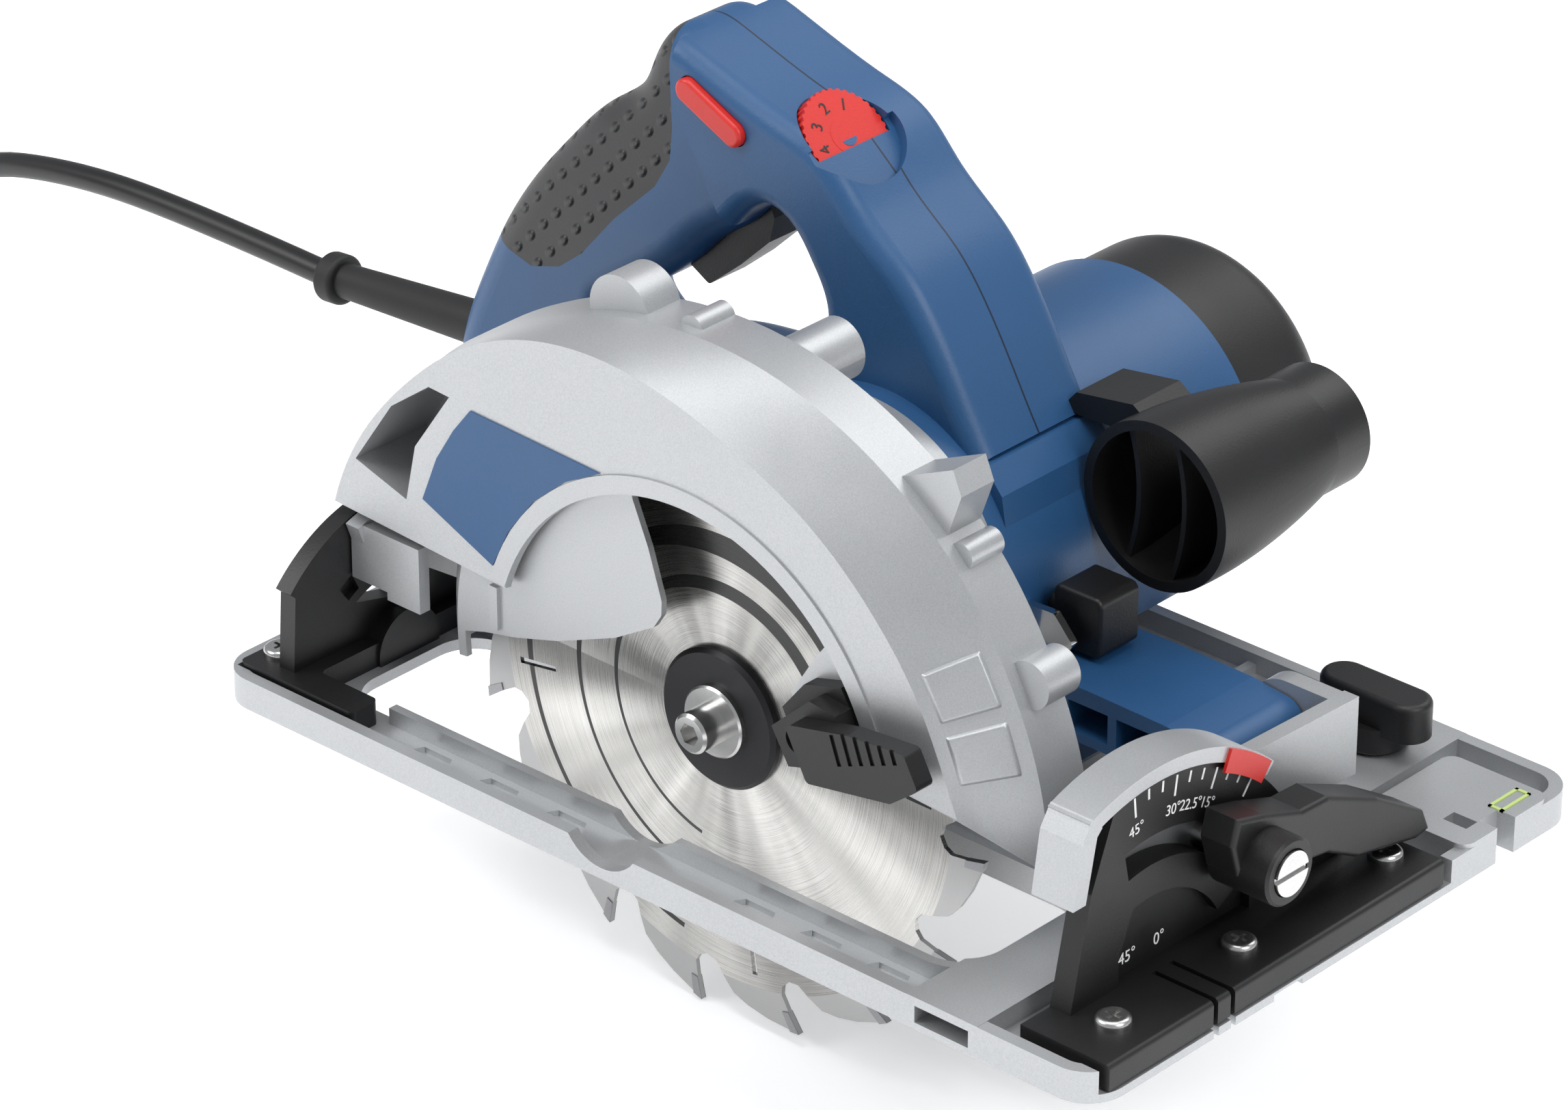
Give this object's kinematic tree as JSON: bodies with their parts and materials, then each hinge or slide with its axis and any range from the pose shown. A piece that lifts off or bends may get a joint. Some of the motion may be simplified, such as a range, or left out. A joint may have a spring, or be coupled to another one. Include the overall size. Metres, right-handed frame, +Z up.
{
  "type": "circular saw",
  "caption": "Hand-held circular saw with a tilting base plate, retracting blade guard, closed rear handle and mains cable.",
  "frame": {"origin": "middle of the base plate on its underside", "axes": "+X is the cutting direction, +Y the motor side, +Z up from the sole"},
  "size_m": [0.8223, 0.271, 0.2553],
  "materials": {
    "die_cast": "satin",
    "black_plastic": "matte",
    "blue_plastic": "matte",
    "rubber": "matte",
    "red_plastic": "satin",
    "zinc_steel": "satin",
    "blade_steel": "satin",
    "carbide": "satin",
    "machined_steel": "satin",
    "copper": "satin",
    "carbon": "matte"
  },
  "bodies": {
    "base": {"base_plate": "die_cast", "front_quadrant": "black_plastic", "rear_quadrant": "black_plastic", "quadrant_screws": "zinc_steel"},
    "fence_clamp": {"fence_knob": "black_plastic", "fence_screw": "zinc_steel"},
    "bevel_frame": {"front_bracket": "die_cast", "bevel_pointer": "red_plastic", "rear_bracket": "die_cast", "depth_guide": "zinc_steel", "depth_pivot_pin": "zinc_steel", "bevel_bolt": "zinc_steel", "rear_bevel_bolt": "zinc_steel"},
    "bevel_lock": {"bevel_lever": "black_plastic"},
    "blade_group": {"spindle": "machined_steel", "inner_flange": "machined_steel", "saw_blade": "blade_steel", "carbide_tips": "carbide", "clamp_flange": "machined_steel", "blade_washer": "zinc_steel", "blade_bolt": "zinc_steel", "spur_gear": "machined_steel"},
    "rotor": {"rotor_shaft": "machined_steel", "armature": "machined_steel", "commutator": "copper", "fan": "black_plastic", "pinion": "machined_steel"},
    "lower_guard_group": {"lower_guard": "die_cast", "guard_lever": "black_plastic", "guard_lever_screw": "zinc_steel"},
    "depth_lock": {"depth_clamp_lever": "black_plastic"},
    "trigger_body": {"trigger": "black_plastic"},
    "lock_off": {"lock_button": "red_plastic"},
    "speed_wheel": {"speed_dial": "red_plastic"},
    "spindle_stop": {"spindle_lock": "black_plastic"},
    "saw_body": {"brush_holders": "black_plastic", "carbon_brushes": "carbon", "cord_coil": "rubber", "cord_tube": "rubber", "depth_clamp_bolt": "zinc_steel", "dust_nozzle": "black_plastic", "gear_housing": "die_cast", "guard_label_panel": "blue_plastic", "handle_screws": "zinc_steel", "handle_shell_left": "blue_plastic", "handle_shell_right": "blue_plastic", "motor_end_cap": "black_plastic", "motor_housing": "blue_plastic", "pivot_arm": "blue_plastic", "plug_body": "rubber", "plug_pins": "zinc_steel", "rear_grip": "rubber", "retaining_ring": "zinc_steel", "rotor_bearings": "machined_steel", "spindle_bearings": "machined_steel", "spindle_lock_strap": "zinc_steel", "stator": "machined_steel", "strain_relief": "rubber", "switch_module": "black_plastic", "upper_guard": "die_cast"}
  },
  "joints": [
    {"name": "fence_knob_turn", "type": "hinge", "parent": "base", "child": "fence_clamp", "pos_m": [0.107, 0.083, 0.02], "axis": [0, 0, 1], "range_deg": [0, 180]},
    {"name": "bevel_tilt", "type": "hinge", "parent": "base", "child": "bevel_frame", "pos_m": [0, -0.054, 0], "axis": [1, 0, 0], "range_deg": [0, 45]},
    {"name": "bevel_lever_turn", "type": "hinge", "parent": "bevel_frame", "child": "bevel_lock", "pos_m": [0.15, -0.02474, 0.03678], "axis": [1, 0, 0], "range_deg": [0, 60]},
    {"name": "depth_swing", "type": "hinge", "parent": "bevel_frame", "child": "saw_body", "pos_m": [0.111, 0.0175, 0.038], "axis": [0, 1, 0], "range_deg": [0, 30]},
    {"name": "blade_spin", "type": "hinge", "parent": "saw_body", "child": "blade_group", "pos_m": [-0.0115, -0.054, 0.03], "axis": [0, 1, 0], "continuous": true},
    {"name": "rotor_spin", "type": "hinge", "parent": "saw_body", "child": "rotor", "pos_m": [-0.00612, 0.05, 0.06053], "axis": [0, 1, 0], "continuous": true},
    {"name": "lower_guard_swing", "type": "hinge", "parent": "saw_body", "child": "lower_guard_group", "pos_m": [-0.0115, -0.043, 0.03], "axis": [0, 1, 0], "range_deg": [-145, 0]},
    {"name": "depth_lever_turn", "type": "hinge", "parent": "saw_body", "child": "depth_lock", "pos_m": [-0.07375, -0.022, 0.02832], "axis": [0, 1, 0], "range_deg": [0, 40]},
    {"name": "trigger_squeeze", "type": "hinge", "parent": "saw_body", "child": "trigger_body", "pos_m": [-0.068, 0.028, 0.141], "axis": [0, 1, 0], "range_deg": [0, 8], "stiffness_Nm_per_rad": 0.6, "springref_deg": -17.19},
    {"name": "lock_off_push", "type": "slide", "parent": "saw_body", "child": "lock_off", "axis": [0, 1, 0], "range_m": [0, 0.003], "stiffness_N_per_m": 400, "springref_m": -0.002},
    {"name": "speed_wheel_turn", "type": "hinge", "parent": "saw_body", "child": "speed_wheel", "pos_m": [-0.035, 0.021, 0.1715], "axis": [0.7071, 0, 0.7071], "range_deg": [-120, 120]},
    {"name": "spindle_lock_push", "type": "slide", "parent": "saw_body", "child": "spindle_stop", "axis": [-1, 0, 0], "range_m": [0, 0.0035], "stiffness_N_per_m": 500, "springref_m": -0.002}
  ],
  "couplings": [
    {"joint": "rotor_spin", "follows": "blade_spin", "ratio": -4.6364}
  ]
}
